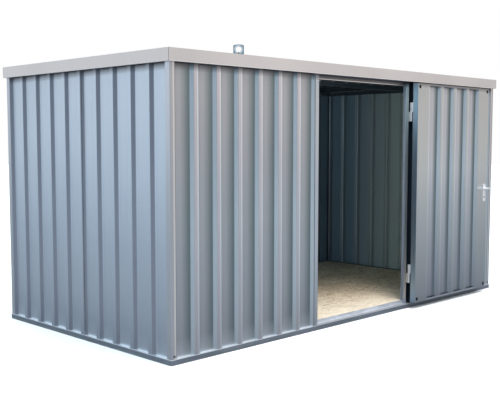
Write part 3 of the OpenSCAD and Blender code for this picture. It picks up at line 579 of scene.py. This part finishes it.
def plasticMaterial(name):
    material, tree, shader = startMaterial(name)
    grain = noiseAt(tree, objectPoint(tree), 400.0, 2.0)
    color = mixColors(tree, grain, (0.003, 0.003, 0.004), (0.010, 0.010, 0.012))
    tree.links.new(color, shader.inputs["Base Color"])
    tree.links.new(remap(tree, grain, 0.3, 0.7, 0.55, 0.70), shader.inputs["Roughness"])
    shader.inputs["Specular IOR Level"].default_value = 0.2
    addBump(tree, shader, grain, 0.2, 0.0002)
    return material


def chromeMaterial(name):
    material, tree, shader = startMaterial(name)
    plain = objectPoint(tree)
    wiped = noiseAt(tree, objectPoint(tree, (60, 60, 400)), 1.0, 3.0)
    haze = noiseAt(tree, plain, 30.0, 3.0)
    color = mixColors(tree, haze, (0.84, 0.85, 0.87), (0.93, 0.94, 0.95))
    tree.links.new(color, shader.inputs["Base Color"])
    shader.inputs["Metallic"].default_value = 0.55
    tree.links.new(remap(tree, wiped, 0.35, 0.7, 0.20, 0.32), shader.inputs["Roughness"])
    addBump(tree, shader, wiped, 0.08, 0.0001)
    return material


finishes = {name: zincMaterial(name, look) for name, look in zincLooks.items()}
finishes["fascia_sheet"] = fasciaMaterial("fascia_sheet", fasciaLook)
# the left fascia: a paler copy of the same sheet, as painted light
finishes["fascia_lit"] = fasciaMaterial("fascia_lit", fasciaLook | {
    "color": (0.76, 0.69, 0.675), "shade": (0.70, 0.635, 0.62)})
finishes["floor_board"] = boardMaterial("floor_board", boardLook)
finishes["black_plastic"] = plasticMaterial("black_plastic")
finishes["handle_chrome"] = chromeMaterial("handle_chrome")

ownFinish = {"roof_front": "galvanised_roof", "roof_back": "galvanised_roof",
             "ridge_cap": "galvanised_roof", "right_jamb": "galvanised_jamb",
             "front_wall_left": "galvanised_front", "front_wall_right": "galvanised_front",
             "back_wall": "galvanised_front", "left_wall": "galvanised_side",
             "right_wall": "galvanised_side", "door_inner_sheet": "galvanised_leaf",
             "door_outer_sheet": "galvanised_leaf", "lintel": "galvanised_lintel",
             "left_jamb": "galvanised_jamb_left", "corner_posts": "galvanised_post",
             # the left fascia takes its paler copy, as painted light; the key cylinder is dark steel, as painted
             # shade of its keyway
             "fascia_left": "fascia_lit", "key_cylinder": "dark_steel",
             "lock_plate_inner": "plate_satin", "lock_plate_outer": "plate_satin"}
ownFinish |= {"base_rail_" + side: "galvanised_rail" for side in ("front", "back", "left", "right")}
for part in frame["record"]["subparts"]:
    name = part["node"]
    finish = ownFinish.get(name, part["material_slot"])
    mesh = frame["nodes"][name].data
    mesh.materials.clear()
    mesh.materials.append(finishes[finish])
print("finishes on the frame:", len(finishes))

# helpers for the pieces


def addPiece(bm, name, finish, body, smooth=None):
    mesh = bpy.data.meshes.new(name)
    bm.normal_update()
    bm.to_mesh(mesh)
    bm.free()
    piece = bpy.data.objects.new(name, mesh)
    scene.collection.objects.link(piece)
    mesh.materials.append(finishes[finish])
    if smooth:
        mesh.polygons.foreach_set("use_smooth", [True] * len(mesh.polygons))
        mesh.set_sharp_from_angle(angle=math.radians(smooth))
    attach(piece, body)
    return piece


def facing(place, out, up=(0, 0, 1)):
    # a place on a face: +Z points out of it
    axis = Vector(out).normalized()
    side = Vector(up).cross(axis)
    if side.length < 0.01:
        side = Vector((1, 0, 0))
    side.normalize()
    turn = Matrix((side, axis.cross(side), axis)).transposed().to_4x4()
    return Matrix.Translation(place) @ turn


def addDisc(bm, place, low, radiusLow, radiusTop, height, segments):
    made = bmesh.ops.create_cone(bm, cap_ends=True, segments=segments, radius1=radiusLow,
                                 radius2=radiusTop, depth=height)
    bmesh.ops.translate(bm, verts=made["verts"], vec=(0, 0, low + height / 2))
    bmesh.ops.transform(bm, matrix=place, verts=made["verts"])
    return made["verts"]


def addHexBolt(bm, place, size):
    addDisc(bm, place, 0, size["washer"], size["washer"] * 0.95, size["washerHigh"], 20)
    addDisc(bm, place, size["washerHigh"], size["head"], size["head"] * 0.96, size["headHigh"], 6)
    addDisc(bm, place, size["washerHigh"] + size["headHigh"], size["head"] * 0.72,
            size["head"] * 0.55, size["headHigh"] * 0.12, 12)


def addRivet(bm, place, radius, height):
    addDisc(bm, place, 0, radius, radius * 0.92, height * 0.45, 10)
    addDisc(bm, place, height * 0.45, radius * 0.92, radius * 0.45, height * 0.55, 10)


# corner bolts through the flanges of the four posts

cornerBolt = {"fromCorner": 0.025, "heights": (0.060,), "washer": 0.0075,
              "washerHigh": 0.0012, "head": 0.0060, "headHigh": 0.0042}
postLow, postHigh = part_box("corner_posts")
bm = bmesh.new()
for z in cornerBolt["heights"]:
    inset = cornerBolt["fromCorner"]
    for x, sideX in ((postLow.x, 1), (postHigh.x, -1)):
        for y, sideY in ((postLow.y, 1), (postHigh.y, -1)):
            addHexBolt(bm, facing((x + sideX * inset, y, z), (0, -sideY, 0)), cornerBolt)
addPiece(bm, "cornerBolts", "dark_steel", container)
print("corner bolts made")

# lever: two bars with rounded ends on one spindle, a collar on each side of the leaf

leverShape = {"spindle": 0.016, "barHigh": 0.020, "barThick": 0.011, "barLong": 0.076,
              "innerOut": 0.060, "outerOut": 0.027, "collar": 0.013, "round": 0.0048}
lockLow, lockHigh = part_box("key_cylinder")
spindleX = (lockLow.x + lockHigh.x) / 2
spindleZ = frame["joints"][1]["pos_m"][2]
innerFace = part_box("door_inner_sheet")[0].y
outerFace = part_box("door_outer_sheet")[1].y


def addLever(bm, faceY, outward, reach):
    look = leverShape
    place = facing((spindleX, faceY, spindleZ), (0, outward, 0))
    addDisc(bm, place, 0, look["spindle"] / 2, look["spindle"] / 2, reach - look["barThick"] / 2, 24)
    addDisc(bm, place, 0.005, look["collar"], look["collar"] * 0.86, 0.008, 28)
    bar = bmesh.ops.create_cube(bm, size=1)["verts"]
    long = look["barLong"] + look["spindle"] / 2
    bmesh.ops.scale(bm, vec=(long, look["barThick"], look["barHigh"]), verts=bar)
    edges = list({e for v in bar for e in v.link_edges})
    rounded = bmesh.ops.bevel(bm, geom=edges, offset=look["round"], affect="EDGES", segments=4,
                              profile=0.5, material=-1)["verts"]
    centre = (spindleX + look["spindle"] / 2 - long / 2,
              faceY + outward * (reach - look["barThick"] / 2 + 0.0001), spindleZ)
    bmesh.ops.translate(bm, vec=centre, verts=rounded)


bm = bmesh.new()
addLever(bm, innerFace, -1, leverShape["innerOut"])
addLever(bm, outerFace, 1, leverShape["outerOut"])
addDisc(bm, facing((spindleX, outerFace, spindleZ), (0, -1, 0)), 0, leverShape["spindle"] / 2,
        leverShape["spindle"] / 2, outerFace - innerFace, 24)
leverPair = addPiece(bm, "leverPair", "handle_chrome", lever, smooth=40)
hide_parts("levers")
print("levers made")

# caps in the corners of the leaf, on its inner face: a stem in the leaf, a domed head and a dimple

capShape = {"radius": 0.0160, "edge": 0.0010, "segments": 32, "stem": 0.007,
            # ring by ring towards the middle: how far in, and how far out or back
            "rings": [(0.0025, 0.0007), (0.0040, 0.0001), (0.0030, -0.0006)]}
plugLow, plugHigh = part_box("door_plugs")


def addCap(bm, place):
    look = capShape
    rim = bmesh.ops.create_circle(bm, cap_ends=True, segments=look["segments"],
                                  radius=look["radius"], matrix=place)["verts"]
    out = (place.to_3x3() @ Vector((0, 0, 1))).normalized()
    base = rim[0].link_faces[0]
    raised = bmesh.ops.extrude_face_region(bm, geom=[base])["geom"]
    head = next(g for g in raised if isinstance(g, bmesh.types.BMFace))
    bmesh.ops.translate(bm, verts=head.verts, vec=out * look["edge"])
    for inset, rise in look["rings"]:
        bmesh.ops.inset_region(bm, faces=[head], thickness=inset)
        bmesh.ops.translate(bm, verts=head.verts, vec=out * rise)
    addDisc(bm, place, -look["stem"], look["radius"] * 0.6, look["radius"] * 0.6, look["stem"], 16)


bm = bmesh.new()
for x in (plugLow.x + capShape["radius"], plugHigh.x - capShape["radius"]):
    for z in (plugLow.z + capShape["radius"], plugHigh.z - capShape["radius"]):
        addCap(bm, facing((x, innerFace, z), (0, -1, 0)))
bmesh.ops.recalc_face_normals(bm, faces=bm.faces)
cornerCaps = addPiece(bm, "cornerCaps", "black_plastic", door, smooth=30)
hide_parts("door_plugs")
print("caps made")

# rivets along the laps of the wall sheets, and the pair on two ribs beside the door

profile = {"first": 0.212, "pitch": wallPitch, "top": 0.040, "perSheet": 5}
rivet = {"radius": 0.0034, "high": 0.0018, "from": 0.16, "to": 1.96, "spacing": 0.36}


def ribMiddle(k):
    return profile["first"] + profile["pitch"] * k + profile["top"] / 2


def rivetHeights():
    count = round((rivet["to"] - rivet["from"]) / rivet["spacing"]) + 1
    return [rivet["from"] + rivet["spacing"] * i for i in range(count)]


def addWallRivets(bm, start, along, out, ribs, heights):
    for k in ribs:
        for z in heights:
            place = Vector(start) + Vector(along) * ribMiddle(k) + Vector((0, 0, z))
            addRivet(bm, facing(place, out), rivet["radius"], rivet["high"])


longLaps = range(profile["perSheet"] - 1, 19, profile["perSheet"])
corners = {"left": postLow.x, "right": postHigh.x, "front": postLow.y, "back": postHigh.y}
bm = bmesh.new()
addWallRivets(bm, (corners["right"], corners["back"], 0), (-1, 0, 0), (0, 1, 0), longLaps, rivetHeights())
addWallRivets(bm, (corners["left"], corners["back"], 0), (0, -1, 0), (-1, 0, 0), (4,), rivetHeights())
addWallRivets(bm, (corners["right"], corners["front"], 0), (0, 1, 0), (1, 0, 0), (4,), rivetHeights())
addWallRivets(bm, (corners["left"], corners["front"], 0), (1, 0, 0), (0, -1, 0), (2, 3), (0.32,))
addPiece(bm, "wallRivets", "lock_steel", container, smooth=40)
print("wall rivets made")

# a dark strip along each lap of the walls, on the flank where the upper sheet ends: painted shadow of the lap's
# step

lapShadow = {"fromRib": 0.0469, "deep": 0.0088, "wide": 0.0030, "thick": 0.0012, "turn": 42.5,
        "from": 0.075, "to": 2.030}


def addLapShadow(bm, start, along, out, k):
    look = lapShadow
    place = (Vector(start) + Vector(along) * (ribMiddle(k) - profile["top"] / 2 + look["fromRib"])
             - Vector(out) * look["deep"] + Vector((0, 0, (look["from"] + look["to"]) / 2)))
    axes = Matrix((along, out, (0, 0, 1))).transposed().to_4x4()
    bead = bmesh.ops.create_cube(bm, size=1)["verts"]
    bmesh.ops.scale(bm, vec=(look["wide"], look["thick"], look["to"] - look["from"]), verts=bead)
    turn = Matrix.Rotation(-math.radians(look["turn"]), 4, "Z")
    bmesh.ops.transform(bm, matrix=Matrix.Translation(place) @ axes @ turn, verts=bead)


bm = bmesh.new()
for k in longLaps:
    addLapShadow(bm, (corners["right"], corners["back"], 0), (-1, 0, 0), (0, 1, 0), k)
addLapShadow(bm, (corners["left"], corners["back"], 0), (0, -1, 0), (-1, 0, 0), 4)
addLapShadow(bm, (corners["right"], corners["front"], 0), (0, 1, 0), (1, 0, 0), 4)
bmesh.ops.recalc_face_normals(bm, faces=bm.faces)
addPiece(bm, "lapShadowStrips", "dark_steel", container)
print("lap seams made")

# roof screws with sealing washers: a row at the eaves, one through the ridge cap, and the laps

roofScrew = {"washer": 0.0080, "washerHigh": 0.0020, "head": 0.0050, "headHigh": 0.0040,
             "eaves": 0.055, "cap": 0.085, "spacing": 0.30}
roofLow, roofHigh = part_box("roof_back")
slope = math.atan2(0.018, corners["back"])       # the roof rises 18 mm from the eaves to the ridge


def roofPlace(x, y, lift=0.0):
    side = 1 if y > 0 else -1
    z = roofHigh.z - (abs(y) - roofLow.y) * math.tan(slope) + lift
    return facing((x, y, z), (0, side * math.sin(slope), math.cos(slope)), (0, 1, 0))


bm = bmesh.new()
for side in (-1, 1):
    for k in range(19):
        x = corners["left"] + ribMiddle(k)
        addHexBolt(bm, roofPlace(x, side * (roofHigh.y - roofScrew["eaves"])), roofScrew)
        addHexBolt(bm, roofPlace(x, side * roofScrew["cap"], 0.0018), roofScrew)
    for k in longLaps:
        x = -side * (corners["left"] + ribMiddle(k))
        for i in range(1, 4):
            along = side * (roofScrew["cap"] + roofScrew["spacing"] * i - 0.05)
            addHexBolt(bm, roofPlace(x, along), roofScrew)
addPiece(bm, "roofScrews", "lock_steel", container)
print("roof screws made")

# bolt through the lifting eye's foot, square to its turned plate

eyeBolt = {"washer": 0.0062, "washerHigh": 0.0012, "head": 0.0052, "headHigh": 0.0040, "under": 0.032}
eyeOut = Vector(eyeMount["axis"])
bm = bmesh.new()
for side in (-1, 1):
    face = Vector(eyeMount["pos_m"]) + eyeOut * side * eyeMount["dims"]["length_mm"] / 2000
    addHexBolt(bm, facing(face - Vector((0, 0, eyeBolt["under"])), eyeOut * side), eyeBolt)
addPiece(bm, "eyeBolts", "dark_steel", container)
print("eye bolts made")

# lock plates: two countersunk screws each, with crossed slots

lockTrim = {"screw": 0.0042, "screwHigh": 0.0006, "fromEnd": 0.011, "slotLong": 0.0072,
            "slotWide": 0.0009}
bm = bmesh.new()
for node, out in (("lock_plate_inner", -1), ("lock_plate_outer", 1)):
    low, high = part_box(node)
    y = low.y if out < 0 else high.y
    for z in (low.z + lockTrim["fromEnd"], high.z - lockTrim["fromEnd"]):
        place = facing(((low.x + high.x) / 2, y, z), (0, out, 0))
        addDisc(bm, place, 0, lockTrim["screw"], lockTrim["screw"] * 0.8, lockTrim["screwHigh"], 20)
        for turn in (0, math.pi / 2):
            slot = bmesh.ops.create_cube(bm, size=1)["verts"]
            slotSize = (lockTrim["slotLong"] * 0.6, lockTrim["slotWide"], 0.0002)
            bmesh.ops.scale(bm, vec=slotSize, verts=slot)
            spin = Matrix.Rotation(turn + 0.4, 4, "Z")
            spin = Matrix.Translation((0, 0, lockTrim["screwHigh"])) @ spin
            bmesh.ops.transform(bm, matrix=place @ spin, verts=slot)
addPiece(bm, "lockScrews", "lock_steel", door, smooth=35)
print("lock screws made")

# screws through the floor boards into the bearers, sunk flush

floorScrew = {"radius": 0.0045, "high": 0.0005, "rows": 9, "columns": 7,
              "fromWall": 0.08, "fromEnd": 0.05}
boardLow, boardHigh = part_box("floor_boards")
bm = bmesh.new()
for i in range(floorScrew["columns"]):
    share = i / (floorScrew["columns"] - 1)
    first, last = boardLow.x + floorScrew["fromEnd"], boardHigh.x - floorScrew["fromEnd"]
    x = first * (1 - share) + last * share
    for j in range(floorScrew["rows"]):
        step = j / (floorScrew["rows"] - 1)
        near, far = boardLow.y + floorScrew["fromWall"], boardHigh.y - floorScrew["fromWall"]
        y = near * (1 - step) + far * step
        place = facing((x, y, boardHigh.z), (0, 0, 1))
        addDisc(bm, place, 0, floorScrew["radius"], floorScrew["radius"] * 0.9, floorScrew["high"], 12)
addPiece(bm, "floorScrews", "lock_steel", container)
print("floor screws made")

# floor of the studio

bm = bmesh.new()
bmesh.ops.create_grid(bm, x_segments=1, y_segments=1, size=40)
bmesh.ops.translate(bm, verts=bm.verts, vec=(0, 0, -0.0005))
mesh = bpy.data.meshes.new("studioFloor")
bm.to_mesh(mesh)
bm.free()
studioFloor = bpy.data.objects.new("studioFloor", mesh)
scene.collection.objects.link(studioFloor)
material, tree, shader = startMaterial("studio_floor")
paper = noiseAt(tree, objectPoint(tree), 3.0, 2.0)
pale = studio["floor"]
paperColor = mixColors(tree, paper, pale, tuple(c * 0.985 for c in pale))
path = addNode(tree, "LightPath")
tree.links.new(mixColors(tree, path.outputs["Is Camera Ray"], studio["floorBounce"], paperColor),
               shader.inputs["Base Color"])
shader.inputs["Roughness"].default_value = 0.9
mesh.materials.append(material)

print("done")
